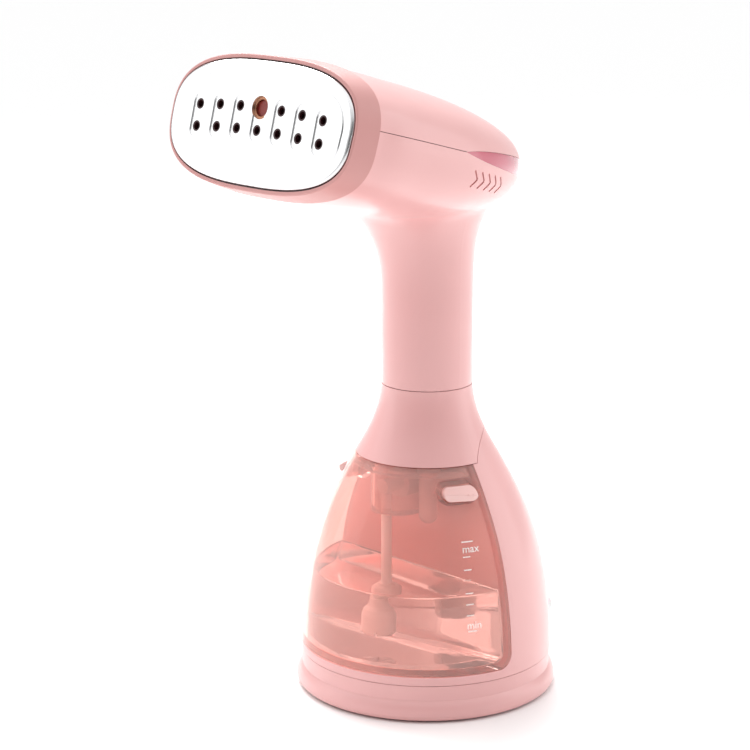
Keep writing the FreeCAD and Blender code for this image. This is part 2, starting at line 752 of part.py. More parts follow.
def element_route():
    v = CHAMBER_B - CHAMBER_WALL - ELEMENT_R
    s = PLATE_THICK + CHAMBER_DEPTH - ELEMENT_R - 1.5
    end = ELEMENT_HALF - 8
    out = chamber_back() + LID_PLATE + 8
    return [V(-end, out, -v), V(-end, s, -v), V(ELEMENT_HALF, s, -v), V(ELEMENT_HALF, s, v),
            V(-end, s, v), V(-end, out, v)]


def chamber_screw_places():
    for x in (-1, 1):
        for v in (-1, 1):
            yield x * (CHAMBER_A - 12), v * (CHAMBER_B - 6)


def steam_chamber():
    block = oval_slab(CHAMBER_A, CHAMBER_B, BEZEL_ROUND, PLATE_THICK + 0.02, chamber_back())
    floor = PLATE_THICK + VENT_DEPTH + CHAMBER_FLOOR
    pool = oval_slab(POOL_A, POOL_B, BEZEL_ROUND, floor, chamber_back() + 1)
    vent = oval_slab(CHAMBER_A - CHAMBER_WALL, VENT_B, BEZEL_ROUND, 0, PLATE_THICK + VENT_DEPTH)
    route = hose(element_route(), ELEMENT_R + 1.5, ELEMENT_R + SNUG)
    block = block.cut(pool).cut(vent).cut(route)
    for side in (-1, 1):
        x = side * (POOL_A - 2 * STEAM_PORT_R)
        block = block.cut(rod(STEAM_PORT_R, V(x, 0, 0), V(x, chamber_back(), 0)))
    for x, v in chamber_screw_places():
        block = block.cut(rod(SCREW_R, V(x, chamber_back() - 9, v), V(x, chamber_back() + 1, v)))
    return in_head(block)


def chamber_seal():
    seal_front = chamber_back() + 0.02
    outer = oval_slab(CHAMBER_A - 6, CHAMBER_B - 1.2, BEZEL_ROUND, seal_front, chamber_back() + 0.8)
    hole = oval_slab(POOL_A + 0.5, POOL_B + 0.5, BEZEL_ROUND, 0, 40)
    ring = outer.cut(hole)
    for x, v in chamber_screw_places():
        ring = ring.cut(rod(SCREW_R + 0.6, V(x, 0, v), V(x, 40, v)))
    for point in (element_route()[0], element_route()[-1]):
        ring = ring.cut(rod(ELEMENT_R + 0.3, V(point.x, 0, point.z), V(point.x, 40, point.z)))
    return in_head(ring)


def lid_front():
    return chamber_back() + 0.82


def chamber_lid():
    lid = oval_slab(CHAMBER_A - 2, CHAMBER_B - 1, BEZEL_ROUND, lid_front(), lid_front() + LID_PLATE)
    for x, v in chamber_screw_places():
        lid = lid.cut(rod(SCREW_R + SNUG, V(x, 0, v), V(x, 40, v)))
    for point in (element_route()[0], element_route()[-1]):
        lid = lid.cut(rod(ELEMENT_R + 0.3, V(point.x, 0, point.z), V(point.x, 40, point.z)))
    lid = lid.cut(rod(INLET_R + SNUG, inlet_point(0), inlet_point(40)))
    return in_head(lid)


def chamber_screws():
    screws = []
    seat = lid_front() + LID_PLATE
    for x, v in chamber_screw_places():
        head = rod(SCREW_HEAD_R, V(x, seat, v), V(x, seat + 2, v))
        shank = rod(SCREW_R - SNUG, V(x, chamber_back() - 8, v), V(x, seat, v))
        screws.append(union([head, shank]))
    return in_head(Part.makeCompound(screws))


def heating_element():
    return in_head(hose(element_route(), ELEMENT_R + 1.5, ELEMENT_R))




def inlet_point(s):
    return V(INLET_X, s, 0)


def water_inlet():
    seat = lid_front() + LID_PLATE
    flange = rod(INLET_R + 2.4, inlet_point(seat), inlet_point(seat + 2))
    neck = rod(INLET_R, inlet_point(lid_front() - 3), inlet_point(seat + 3))
    barb = rod(HOSE_BORE - SNUG, inlet_point(seat + 2), inlet_point(seat + 9))
    bore = rod(0.9, inlet_point(0), inlet_point(40))
    return in_head(union([flange, neck, barb]).cut(bore))


def thermostat():
    seat = lid_front() + LID_PLATE
    base = rod(8.0, V(8, seat, 0), V(8, seat + 1.6, 0))
    cap = rod(7.0, V(8, seat + 1.6, 0), V(8, seat + 8, 0))
    tabs = [box(7, 9, seat + 7, seat + 13, v, v + 4.8) for v in (-5.8, 1)]
    return in_head(union([base, cap] + tabs))


def thermal_fuse():
    seat = lid_front() + LID_PLATE
    barrel = rod(2.0, V(24, seat + 2.1, -5), V(24, seat + 2.1, 7))
    sleeve = rod(1.2, V(24, seat + 2.1, -9), V(24, seat + 2.1, 10))
    return in_head(union([barrel, sleeve]))


def head_bracket():
    """Frame that carries the chamber inside the bezel's spigot."""
    s0 = BEZEL_DEPTH + 0.5
    outer_a = HEAD_A - WALL - SPIGOT_GAP - 2 - SNUG
    outer_b = HEAD_B - WALL - SPIGOT_GAP - 2 - SNUG
    ring = oval_slab(outer_a, outer_b, HEAD_ROUND, s0, s0 + 3)
    return in_head(ring.cut(oval_slab(CHAMBER_A + SNUG, CHAMBER_B + SNUG, BEZEL_ROUND, 0, 40)))


# ---------------------------------------------------------------- steam button
def button_shape(half_width, half_length, y0, y1):
    shape = stadium(half_width, half_length, y1 - y0)
    shape.translate(button_place(y0))
    return shape


def flange_y():
    """Front of the button's rim: just behind the handle's wall at the rim's edge."""
    edge = BUTTON_WIDTH / 2 + BUTTON_FLANGE
    return math.sqrt((HANDLE_R - WALL) ** 2 - edge ** 2) - SLIDE_GAP


def steam_button():
    top = HANDLE_R + BUTTON_PROUD
    cap = button_shape(BUTTON_WIDTH / 2, BUTTON_LENGTH / 2, flange_y() - 1, top)
    cap = cap.common(rod(top, V(0, 0, 0), V(0, 0, 2 * BUTTON_Z)))
    outer = [e for e in cap.Edges if e.CenterOfMass.y > HANDLE_R - 1 and e.BoundBox.YLength < 3]
    cap = cap.makeFillet(0.8, outer)
    half = BUTTON_WIDTH / 2 + BUTTON_FLANGE
    rim = button_shape(half, BUTTON_LENGTH / 2 + BUTTON_FLANGE, flange_y() - 1.6, flange_y())
    return union([cap, rim])


def switch_top():
    return flange_y() - 1.6 - BUTTON_TRAVEL - SLIDE_GAP


def microswitch():
    half = SWITCH_LENGTH / 2
    case = box(-2.9, 2.9, switch_top() - 6.6, switch_top() - 0.8, BUTTON_Z - half, BUTTON_Z + half)
    plunger = box(-1, 1, switch_top() - 1, switch_top(), BUTTON_Z - 1.5, BUTTON_Z + 1.5)
    legs = []
    for z in (-4.6, 0, 4.6):
        z0 = BUTTON_Z + z
        legs.append(box(-1.2, 1.2, switch_top() - 10.4, switch_top() - 6.4, z0 - 0.4, z0 + 0.4))
    return union([case, plunger] + legs)


def switch_holder():
    half = BUTTON_LENGTH / 2 + 4
    y1 = switch_top() - 6.6
    inner = HANDLE_R - WALL - SNUG
    plate = box(-20, 20, y1 - 1.8, y1, BUTTON_Z - half, BUTTON_Z + half)
    ledge = box(-5, 5, y1, y1 + 4, BUTTON_Z - half, BUTTON_Z - SWITCH_LENGTH / 2)
    ledge = ledge.fuse(box(-5, 5, y1, y1 + 4, BUTTON_Z + SWITCH_LENGTH / 2, BUTTON_Z + half))
    body = plate.fuse(ledge).common(rod(inner, V(0, 0, 0), V(0, 0, 2 * BUTTON_Z)))
    for z in (-4.6, 0, 4.6):
        z0 = BUTTON_Z + z
        body = body.cut(box(-1.6, 1.6, 0, y1 + 0.01, z0 - 0.8, z0 + 0.8))
    return body


def button_springs():
    y0 = switch_top() - 2.6
    springs = []
    for side in (-1, 1):
        z = BUTTON_Z + side * (BUTTON_LENGTH / 2 - 2.6)
        springs.append(tube(1.9, 1.3, V(0, y0, z), V(0, switch_top(), z)))
    return Part.makeCompound(springs)


# ---------------------------------------------------------------- water path
def dock_nozzle():
    front = TANK_BACK_Y + SLIDE_GAP
    tip = V(0, front - DOCK_REACH, DOCK_Z)
    rear = front + LINER_T
    body = rod(DOCK_R, tip, V(0, rear + 1, DOCK_Z))
    flange = rod(DOCK_R + 2.5, V(0, rear, DOCK_Z), V(0, rear + 2, DOCK_Z))
    barb = rod(HOSE_BORE - SNUG, V(0, rear + 2, DOCK_Z), V(0, rear + 6, DOCK_Z))
    nozzle = union([body, flange, barb])
    groove = tube(DOCK_R + 1, DOCK_R - 0.9, dock_ring_place(0), dock_ring_place(1.8))
    return nozzle.cut(groove).cut(rod(0.9, V(0, front - 20, DOCK_Z), V(0, rear + 20, DOCK_Z)))


def dock_ring_place(step):
    return V(0, TANK_BACK_Y + SLIDE_GAP - DOCK_REACH + 2.2 + step, DOCK_Z)


def dock_ring():
    return tube(DOCK_R + 0.35, DOCK_R - 0.85, dock_ring_place(0.1), dock_ring_place(1.7))


def pump_top():
    return PUMP_BOTTOM + PUMP_HEIGHT


def pump():
    at = V(PUMP_X, PUMP_Y, PUMP_BOTTOM)
    body = rod(PUMP_R, at.add(V(0, 0, 5)), at.add(V(0, 0, PUMP_HEIGHT - 5)))
    half = PUMP_COIL / 2
    coil = box(
        PUMP_X - half, PUMP_X + half, PUMP_Y - half, PUMP_Y + half,
        PUMP_BOTTOM + 9, pump_top() - 11,
    )
    stubs = rod(HOSE_BORE - SNUG, at, at.add(V(0, 0, PUMP_HEIGHT)))
    return union([body, coil, stubs])


def pump_bracket():
    z0 = PUMP_BOTTOM + 5
    half = PUMP_COIL / 2 + 2
    back = TANK_BACK_Y + SLIDE_GAP + LINER_T + SNUG
    shelf = box(PUMP_X - half, PUMP_X + half, back, PUMP_Y + half, z0, z0 + 3.9)
    post = box(PUMP_X - half, PUMP_X + half, back, back + 2.4, z0, z0 + 20)
    leg = box(PUMP_X - half, PUMP_X + half, back, back + 2.4, RING_TOP + 5, z0)
    bracket = union([shelf, post, leg])
    return bracket.cut(rod(PUMP_R + SNUG, V(PUMP_X, PUMP_Y, 0), V(PUMP_X, PUMP_Y, pump_top())))


def suction_hose():
    """From the dock nozzle, round the pump's side and up into its foot."""
    start = V(0, TANK_BACK_Y + SLIDE_GAP + LINER_T + 3, DOCK_Z)
    low = PUMP_BOTTOM - 7
    points = [
        start, V(0, 11, DOCK_Z), V(-2, 13, low), V(PUMP_X, PUMP_Y, low),
        V(PUMP_X, PUMP_Y, PUMP_BOTTOM + 4.5),
    ]
    return hose(points, 4.0, HOSE_R - 0.4, HOSE_BORE)


def feed_hose():
    """From the pump's top, up the front of the handle and forward to the chamber."""
    points = [
        V(PUMP_X, PUMP_Y, pump_top() - 4.5), V(PUMP_X, PUMP_Y, pump_top() + 9),
        V(-6.5, 0, NECK_BOTTOM + 12), V(-6.5, -5, NECK_TOP + 12),
        V(-6.5, -5, HEAD_Z - 34), head_point(INLET_X, lid_front() + LID_PLATE + 26, 0),
        head_point(INLET_X, lid_front() + LID_PLATE + 3, 0),
    ]
    return hose(points, 9.0, HOSE_R - 0.4, HOSE_BORE)


def wiring_loom():
    points = [
        V(BOARD_X, BOARD_Y + 6, BOARD_BOTTOM + BOARD_HEIGHT + 1),
        V(BOARD_X, BOARD_Y + 6, BOARD_BOTTOM + BOARD_HEIGHT + 9),
        V(7, 2, NECK_BOTTOM + 14), V(7, -5, NECK_TOP + 12),
        V(7, -5, HEAD_Z - 36), head_point(17, 52, 2), head_point(17, 40, 2),
    ]
    return hose(points, 8.0, LOOM_R)


# ---------------------------------------------------------------- electrics
def circuit_board():
    x0 = BOARD_X - BOARD_WIDTH / 2
    board = box(x0, x0 + BOARD_WIDTH, BOARD_Y, BOARD_Y + 1.6, BOARD_BOTTOM, BOARD_BOTTOM + BOARD_HEIGHT)
    relay = box(x0 + 4, x0 + 20, BOARD_Y + 1.6, BOARD_Y + 13, BOARD_BOTTOM + 4, BOARD_BOTTOM + 16)
    store_z = BOARD_BOTTOM + 10
    store = rod(4.0, V(x0 + 27, BOARD_Y + 1.6, store_z), V(x0 + 27, BOARD_Y + 14, store_z))
    chip = box(x0 + 8, x0 + 18, BOARD_Y + 1.6, BOARD_Y + 3.4, BOARD_BOTTOM + 22, BOARD_BOTTOM + 28)
    return union([board, relay, store, chip])


def board_mounts():
    back = TANK_BACK_Y + SLIDE_GAP + LINER_T + SNUG
    posts = []
    for x in (-1, 1):
        for z in (6, BOARD_HEIGHT - 6):
            at = V(BOARD_X + x * (BOARD_WIDTH / 2 - 4), back, BOARD_BOTTOM + z)
            posts.append(rod(2.5, at, V(at.x, BOARD_Y, at.z)))
    return Part.makeCompound(posts)


def terminal_block():
    z0 = BOARD_BOTTOM + BOARD_HEIGHT - 12
    y0 = BOARD_Y + 1.6
    block = box(BOARD_X - 10, BOARD_X + 10, y0, y0 + 9, z0, z0 + 10)
    for x in (-6, 0, 6):
        block = block.cut(rod(1.8, V(BOARD_X + x, y0 + 4, z0 + 5), V(BOARD_X + x, y0 + 9.5, z0 + 5)))
    return block


# ---------------------------------------------------------------- tank
def outline_radius(z):
    """Radius of the body's outline at a height, straight between its rows."""
    share = (z - FLANGE_TOP) / (NECK_TOP - FLANGE_TOP)
    for (h0, r0), (h1, r1) in zip(BODY_OUTLINE, BODY_OUTLINE[1:]):
        if share <= h1:
            reach = r0 + (r1 - r0) * (share - h0) / (h1 - h0)
            return HANDLE_R + (BODY_R - HANDLE_R) * reach
    return HANDLE_R


def latch_r(proud, rise=0.0):
    """Distance from the body's axis of a point that stands proud of the tank near the latches."""
    return outline_radius(LATCH_Z + rise) + proud


def latch_frame(shape):
    """Place a shape built along +X (outward) at the right latch."""
    placed = shape.copy()
    placed.rotate(V(0, 0, 0), Z_AXIS, LATCH_TURN - 90)
    placed.translate(V(0, 0, LATCH_Z))
    return placed


def lying_stadium(half_width, half_height, r0, r1):
    """Stadium lying along Y, from x = r0 to x = r1."""
    shape = stadium(half_height, half_width, r1 - r0)
    shape.rotate(V(0, 0, 0), Y_AXIS, 90)
    shape.rotate(V(0, 0, 0), Z_AXIS, -90)
    shape.translate(V(r0, 0, 0))
    return shape


def latch_pocket(grow):
    half_width = LATCH_WIDTH / 2 + SLIDE_GAP + grow
    half_height = LATCH_HEIGHT / 2 + SLIDE_GAP + grow
    return latch_frame(lying_stadium(half_width, half_height, latch_r(-LATCH_POCKET) - grow, BODY_R))


def tank_shell():
    outer = bell(0).common(between(TANK_BOTTOM, TANK_TOP)).cut(rear_side())
    outer = outer.common(tank_space(0))
    inside = bell(TANK_WALL).common(tank_space(-TANK_WALL))
    pockets = [latch_pocket(TANK_WALL - 0.6)]
    pockets.append(mirrored(pockets[0]))
    shell = outer.cut(inside).fuse([p.common(outer) for p in pockets])
    shell = shell.cut(latch_pocket(0)).cut(mirrored(latch_pocket(0)))
    seat = V(0, TANK_BACK_Y - TANK_WALL - 1, DOCK_Z)
    return shell.cut(rod(DOCK_SOCKET_R + SNUG, seat, V(0, 5, DOCK_Z))).removeSplitter()


def rear_side():
    reach = 2 * FLANGE_R
    return box(-reach, reach, TANK_BACK_Y, reach, 0, NECK_TOP)


def lid_top():
    return TANK_TOP - LID_DROP


def tank_lid():
    plate = bell(TANK_WALL + SNUG).common(between(lid_top() - LID_T, lid_top()))
    plate = plate.cut(rear_side_of(TANK_BACK_Y - TANK_WALL - SNUG))
    cup = tube(CUP_R, CUP_R - CUP_WALL, V(0, CUP_Y, CUP_BOTTOM), V(0, CUP_Y, lid_top()))
    floor = rod(CUP_R, V(0, CUP_Y, CUP_BOTTOM), V(0, CUP_Y, CUP_BOTTOM + CUP_WALL))
    lid = plate.cut(rod(CUP_R, V(0, CUP_Y, 0), V(0, CUP_Y, NECK_TOP)))
    lid = union([lid, cup, floor])
    lid = lid.cut(rod(WATER_HOSE_R + SNUG, V(0, WATER_HOSE_Y, 0), V(0, WATER_HOSE_Y, DOCK_Z)))
    lid = lid.cut(rod(DOCK_SOCKET_R + SNUG, V(0, TANK_BACK_Y, DOCK_Z), V(0, CUP_Y, DOCK_Z)))
    return lid.cut(rod(FILLER_R + SNUG, V(FILLER_X, FILLER_Y, 0), V(FILLER_X, FILLER_Y, NECK_TOP)))


def rear_side_of(y):
    reach = 2 * FLANGE_R
    return box(-reach, reach, y, reach, 0, NECK_TOP)


def filler_plug():
    top = lid_top()
    at = V(FILLER_X, FILLER_Y, 0)
    body = rod(FILLER_R, at.add(V(0, 0, top - FILLER_LENGTH + FILLER_R)), at.add(V(0, 0, top)))
    end = Part.makeSphere(FILLER_R, at.add(V(0, 0, top - FILLER_LENGTH + FILLER_R)))
    cap = rod(FILLER_R + 1.2, at.add(V(0, 0, top)), at.add(V(0, 0, top + 1.4)))
    tab = box(FILLER_X - 1.5, FILLER_X + 1.5, FILLER_Y, FILLER_Y + 8, top, top + 1.0)
    bore = rod(FILLER_R - 1.4, at.add(V(0, 0, top - FILLER_LENGTH + FILLER_R)), at.add(V(0, 0, top + 3)))
    return union([body, end, cap, tab]).cut(bore)


def dock_socket():
    """Socket in the tank's back that slides on to the body's nozzle, with an elbow to the hose."""
    rear = TANK_BACK_Y - 0.2
    depth = DOCK_REACH + 2.5
    barrel = rod(DOCK_SOCKET_R, V(0, rear - depth - 1.6, DOCK_Z), V(0, rear, DOCK_Z))
    elbow = rod(3.0, V(0, rear - depth, DOCK_Z), V(0, WATER_HOSE_Y - 2, DOCK_Z))
    drop = rod(WATER_HOSE_BORE - SNUG, V(0, WATER_HOSE_Y, CUP_BOTTOM + 3), V(0, WATER_HOSE_Y, DOCK_Z))
    socket = union([barrel, elbow, drop])
    socket = socket.cut(rod(DOCK_R + 0.45, V(0, rear - depth, DOCK_Z), V(0, rear + 1, DOCK_Z)))
    bore = rod(0.7, V(0, WATER_HOSE_Y, DOCK_Z), V(0, rear - depth + 1, DOCK_Z))
    down = rod(0.7, V(0, WATER_HOSE_Y, 0), V(0, WATER_HOSE_Y, DOCK_Z))
    return socket.cut(bore).cut(down)


def pickup_hose():
    top = DOCK_Z - 3.1
    low = WEIGHT_BOTTOM + WEIGHT_HEIGHT - 4
    return tube(WATER_HOSE_R, WATER_HOSE_BORE, V(0, WATER_HOSE_Y, low), V(0, WATER_HOSE_Y, top))


def pickup_weight():
    z0 = WEIGHT_BOTTOM
    high = z0 + WEIGHT_HEIGHT
    outline = [
        (0, z0), (WEIGHT_R - 0.8, z0), (WEIGHT_R, z0 + 1), (WEIGHT_R, high - 5),
        (WEIGHT_R - 0.8, high - 2.4), (WEIGHT_R - 2.4, high - 1), (WEIGHT_R - 2.8, high),
        (WEIGHT_R - 3.0, high + 2.2), (0, high + 2.2),
    ]
    weight = revolved(outline)
    weight = weight.cut(rod(WATER_HOSE_R + SNUG, V(0, 0, high - 4), V(0, 0, high + 3)))
    weight = weight.cut(rod(WATER_HOSE_BORE, V(0, 0, z0 - 1), V(0, 0, high)))
    for angle in (0, 60, 120):
        weight = weight.cut(around(box(-10, 10, -0.6, 0.6, z0 - 1, z0 + 1.6), angle))
    weight.translate(V(0, WATER_HOSE_Y, 0))
    return weight


def latch_face():
    """Form whose outside is the latch's face: it leans out to the finger's edge, then back in."""
    half = LATCH_HEIGHT / 2
    top = latch_r(LATCH_TOP_PROUD, half)
    crest = latch_r(LATCH_CREST_PROUD, LATCH_CREST_Z)
    low = latch_r(LATCH_LOW_PROUD, -half)
    form = revolved([(0, -half), (low, -half), (crest, LATCH_CREST_Z), (top, half), (0, half)])
    drop = (1 - LATCH_FRONT_SHARE) * LATCH_CREST_PROUD
    rear = V(crest, LATCH_WIDTH / 2, 0)
    front = V(crest - drop, -LATCH_WIDTH / 2, 0)
    run = rear.sub(front).multiply(1.0)
    corners = [front.sub(run), rear.add(run), rear.add(run).add(V(BODY_R, 0, 0))]
    corners.append(front.sub(run).add(V(BODY_R, 0, 0)))
    outside = Part.Face(Part.makePolygon(corners + corners[:1])).extrude(V(0, 0, 4 * half))
    outside.translate(V(0, 0, -2 * half))
    return form.cut(outside)


def latch():
    """Right latch: a sprung pill with a finger's edge and two grip grooves."""
    back = latch_r(-LATCH_BACK)
    pill = lying_stadium(LATCH_WIDTH / 2, LATCH_HEIGHT / 2, back, BODY_R).common(latch_face())
    rim = [e for e in pill.Edges if e.BoundBox.XMin > back + 1]
    pill = pill.makeFillet(LATCH_EDGE_R, rim)
    crest = latch_r(LATCH_CREST_PROUD, LATCH_CREST_Z)
    for y in LATCH_GRIPS:
        groove = box(crest - 1.3, BODY_R, y - 0.4, y + 0.4, LATCH_CREST_Z + 0.4, LATCH_HEIGHT / 2 - 0.9)
        pill = pill.cut(groove)
    bore = rod(LATCH_SPRING_R + 0.3, V(back - 1, 0, 0), V(back + LATCH_BORE, 0, 0))
    return latch_frame(pill.cut(bore))


def latch_spring():
    """Coil at its pressed length, from the pocket's floor into the latch's bore."""
    start = latch_r(-LATCH_POCKET)
    end = latch_r(-LATCH_BACK) - LATCH_TRAVEL + LATCH_BORE - 0.1
    return latch_frame(tube(LATCH_SPRING_R, LATCH_SPRING_R - 0.6, V(start, 0, 0), V(end, 0, 0)))


# ---------------------------------------------------------------- everything
def main():
    shell = upper_shell()
    right_latch = latch()
    spring = latch_spring()
    pieces = {
        "foot_ring": foot_ring(),
        "base_plate": base_plate(),
        "base_screws": base_screws(),
        "base_ring": base_ring(),
        "cord_gland": cord_gland(),
        "cord_clamp": cord_clamp(),
        "clamp_screws": clamp_screws(),
        "rear_housing": rear_housing(),
        "tank_bay": tank_bay(),
        "neck_collar": neck_collar(),
        "handle_shell": handle_shell(shell),
        "head_cover": head_cover(shell),
        "accent_trim": accent_trim(),
        "bezel": bezel(),
        "steam_plate": steam_plate(),
        "soleplate_gasket": soleplate_gasket(),
        "port_sleeves": port_sleeves(),
        "centre_bush": centre_bush(),
        "centre_plug": centre_plug(),
        "steam_chamber": steam_chamber(),
        "chamber_seal": chamber_seal(),
        "chamber_lid": chamber_lid(),
        "chamber_screws": chamber_screws(),
        "heating_element": heating_element(),
        "water_inlet": water_inlet(),
        "thermostat": thermostat(),
        "thermal_fuse": thermal_fuse(),
        "head_bracket": head_bracket(),
        "steam_button": steam_button(),
        "button_springs": button_springs(),
        "microswitch": microswitch(),
        "switch_holder": switch_holder(),
        "dock_nozzle": dock_nozzle(),
        "dock_ring": dock_ring(),
        "pump": pump(),
        "pump_bracket": pump_bracket(),
        "suction_hose": suction_hose(),
        "feed_hose": feed_hose(),
        "wiring_loom": wiring_loom(),
        "circuit_board": circuit_board(),
        "board_mounts": board_mounts(),
        "terminal_block": terminal_block(),
        "tank_shell": tank_shell(),
        "tank_lid": tank_lid(),
        "filler_plug": filler_plug(),
        "dock_socket": dock_socket(),
        "pickup_hose": pickup_hose(),
        "pickup_weight": pickup_weight(),
        "latch_right": right_latch,
        "latch_left": mirrored(right_latch),
        "latch_spring_right": spring,
        "latch_spring_left": mirrored(spring),
    }
    for name, shape in pieces.items():
        save(name, shape)


main()
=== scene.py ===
"""Looks of a handheld garment steamer: moulded pink plastic, clear tinted tank, polished soleplate."""

import json
import math

import bpy
import numpy as np
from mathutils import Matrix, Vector


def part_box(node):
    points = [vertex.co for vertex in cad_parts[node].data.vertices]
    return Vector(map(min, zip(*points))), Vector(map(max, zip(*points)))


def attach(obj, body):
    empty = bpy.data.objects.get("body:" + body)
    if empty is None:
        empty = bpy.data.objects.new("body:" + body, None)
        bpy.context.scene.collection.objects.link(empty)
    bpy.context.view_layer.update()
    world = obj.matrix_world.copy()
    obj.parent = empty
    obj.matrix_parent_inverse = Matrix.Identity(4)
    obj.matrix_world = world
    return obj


# ---- camera and studio, in metres and degrees ----
CAMERA_AT = (0.6979, -0.6991, 0.3724)
CAMERA_TURN = 46.21       # about +Z, from looking along +Y
CAMERA_DIP = 13.60        # below the horizon
CAMERA_LENS = 116.7       # millimetres, on a 36 mm frame

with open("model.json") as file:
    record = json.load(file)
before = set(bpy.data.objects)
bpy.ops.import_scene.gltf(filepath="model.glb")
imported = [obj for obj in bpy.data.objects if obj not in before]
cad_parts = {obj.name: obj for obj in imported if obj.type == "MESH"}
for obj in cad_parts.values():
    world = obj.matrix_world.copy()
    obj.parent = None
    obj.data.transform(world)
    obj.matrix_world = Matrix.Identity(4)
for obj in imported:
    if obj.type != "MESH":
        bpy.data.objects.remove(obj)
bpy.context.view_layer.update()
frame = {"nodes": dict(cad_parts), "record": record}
nodes = frame["nodes"]


# ---------------------------------------------------------------- shader groups
def new_group(name, inputs, outputs):
    """Empty shader group with the named sockets; returns the group, its input node and its output node."""
    group = bpy.data.node_groups.new(name, "ShaderNodeTree")
    for label, kind, value in inputs:
        socket = group.interface.new_socket(label, in_out="INPUT", socket_type=kind)
        socket.default_value = value
    for label, kind in outputs:
        group.interface.new_socket(label, in_out="OUTPUT", socket_type=kind)
    return group, group.nodes.new("NodeGroupInput"), group.nodes.new("NodeGroupOutput")


def noise(tree, scale, detail, vector):
    node = tree.nodes.new("ShaderNodeTexNoise")
    node.inputs["Detail"].default_value = detail
    if isinstance(scale, (int, float)):
        node.inputs["Scale"].default_value = scale
    else:
        tree.links.new(scale, node.inputs["Scale"])
    tree.links.new(vector, node.inputs["Vector"])
    return node.outputs["Fac"]


def spread_about(tree, value, middle, spread):
    """value from 0..1 carried to middle - spread .. middle + spread, limits linked or plain."""
    remap = tree.nodes.new("ShaderNodeMapRange")
    low = tree.nodes.new("ShaderNodeMath")
    low.operation = "SUBTRACT"
    high = tree.nodes.new("ShaderNodeMath")
    high.operation = "ADD"
    for node in (low, high):
        tree.links.new(middle, node.inputs[0])
        tree.links.new(spread, node.inputs[1])
    tree.links.new(value, remap.inputs["Value"])
    remap.inputs["From Min"].default_value = 0.25
    remap.inputs["From Max"].default_value = 0.75
    tree.links.new(low.outputs[0], remap.inputs["To Min"])
    tree.links.new(high.outputs[0], remap.inputs["To Max"])
    return remap.outputs["Result"]


def moulding_group():
    """Moulded surface: slow tone drift, a faint flow ripple and a fine grain."""
    group, inp, out = new_group(
        "moulded_surface",
        [
            ("Color", "NodeSocketColor", (0.8, 0.8, 0.8, 1)),
            ("Drift", "NodeSocketFloat", 0.04),
            ("Roughness", "NodeSocketFloat", 0.3),
            ("Roughness Spread", "NodeSocketFloat", 0.04),
            ("Grain Scale", "NodeSocketFloat", 2500.0),
            ("Grain Depth", "NodeSocketFloat", 0.00001),
            ("Ripple Depth", "NodeSocketFloat", 0.00002),
        ],
        [
            ("Color", "NodeSocketColor"),
            ("Roughness", "NodeSocketFloat"),
            ("Normal", "NodeSocketVector"),
        ],
    )
    place = group.nodes.new("ShaderNodeTexCoord").outputs["Object"]
    slow = noise(group, 14.0, 2.0, place)
    patchy = noise(group, 90.0, 3.0, place)
    grain = noise(group, inp.outputs["Grain Scale"], 1.0, place)
    ripple = noise(group, 220.0, 0.0, place)

    one = group.nodes.new("ShaderNodeValue")
    one.outputs[0].default_value = 1.0
    gain = spread_about(group, slow, one.outputs[0], inp.outputs["Drift"])
    tint = group.nodes.new("ShaderNodeVectorMath")
    tint.operation = "SCALE"
    group.links.new(inp.outputs["Color"], tint.inputs[0])
    group.links.new(gain, tint.inputs["Scale"])
    group.links.new(tint.outputs[0], out.inputs["Color"])

    rough = spread_about(group, patchy, inp.outputs["Roughness"], inp.outputs["Roughness Spread"])
    group.links.new(rough, out.inputs["Roughness"])

    fine = group.nodes.new("ShaderNodeBump")
    group.links.new(grain, fine.inputs["Height"])
    group.links.new(inp.outputs["Grain Depth"], fine.inputs["Distance"])
    wide = group.nodes.new("ShaderNodeBump")
    group.links.new(ripple, wide.inputs["Height"])
    group.links.new(inp.outputs["Ripple Depth"], wide.inputs["Distance"])
    group.links.new(fine.outputs["Normal"], wide.inputs["Normal"])
    group.links.new(wide.outputs["Normal"], out.inputs["Normal"])
    return group


def brushed_group():
    """Metal: scratches drawn out along X, and cloudy roughness."""
    group, inp, out = new_group(
        "brushed_metal",
        [
            ("Color", "NodeSocketColor", (0.8, 0.8, 0.8, 1)),
            ("Roughness", "NodeSocketFloat", 0.2),
            ("Roughness Spread", "NodeSocketFloat", 0.05),
            ("Scratch Scale", "NodeSocketFloat", 900.0),
            ("Scratch Depth", "NodeSocketFloat", 0.000004),
        ],
        [
            ("Color", "NodeSocketColor"),
            ("Roughness", "NodeSocketFloat"),
            ("Normal", "NodeSocketVector"),
        ],
    )
    place = group.nodes.new("ShaderNodeTexCoord").outputs["Object"]
    drawn = group.nodes.new("ShaderNodeMapping")
    drawn.inputs["Scale"].default_value = (0.04, 1, 1)
    group.links.new(place, drawn.inputs["Vector"])
    scratch = noise(group, inp.outputs["Scratch Scale"], 3.0, drawn.outputs[0])
    cloud = noise(group, 60.0, 3.0, place)
    rough = spread_about(group, cloud, inp.outputs["Roughness"], inp.outputs["Roughness Spread"])
    group.links.new(rough, out.inputs["Roughness"])
    tint = group.nodes.new("ShaderNodeVectorMath")
    tint.operation = "SCALE"
    group.links.new(inp.outputs["Color"], tint.inputs[0])
    shade = group.nodes.new("ShaderNodeMapRange")
    shade.inputs["To Min"].default_value = 0.94
    shade.inputs["To Max"].default_value = 1.04
    group.links.new(scratch, shade.inputs["Value"])
    group.links.new(shade.outputs["Result"], tint.inputs["Scale"])
    group.links.new(tint.outputs[0], out.inputs["Color"])
    bump = group.nodes.new("ShaderNodeBump")
    group.links.new(scratch, bump.inputs["Height"])
    group.links.new(inp.outputs["Scratch Depth"], bump.inputs["Distance"])
    group.links.new(bump.outputs["Normal"], out.inputs["Normal"])
    return group


MOULDED = moulding_group()
BRUSHED = brushed_group()


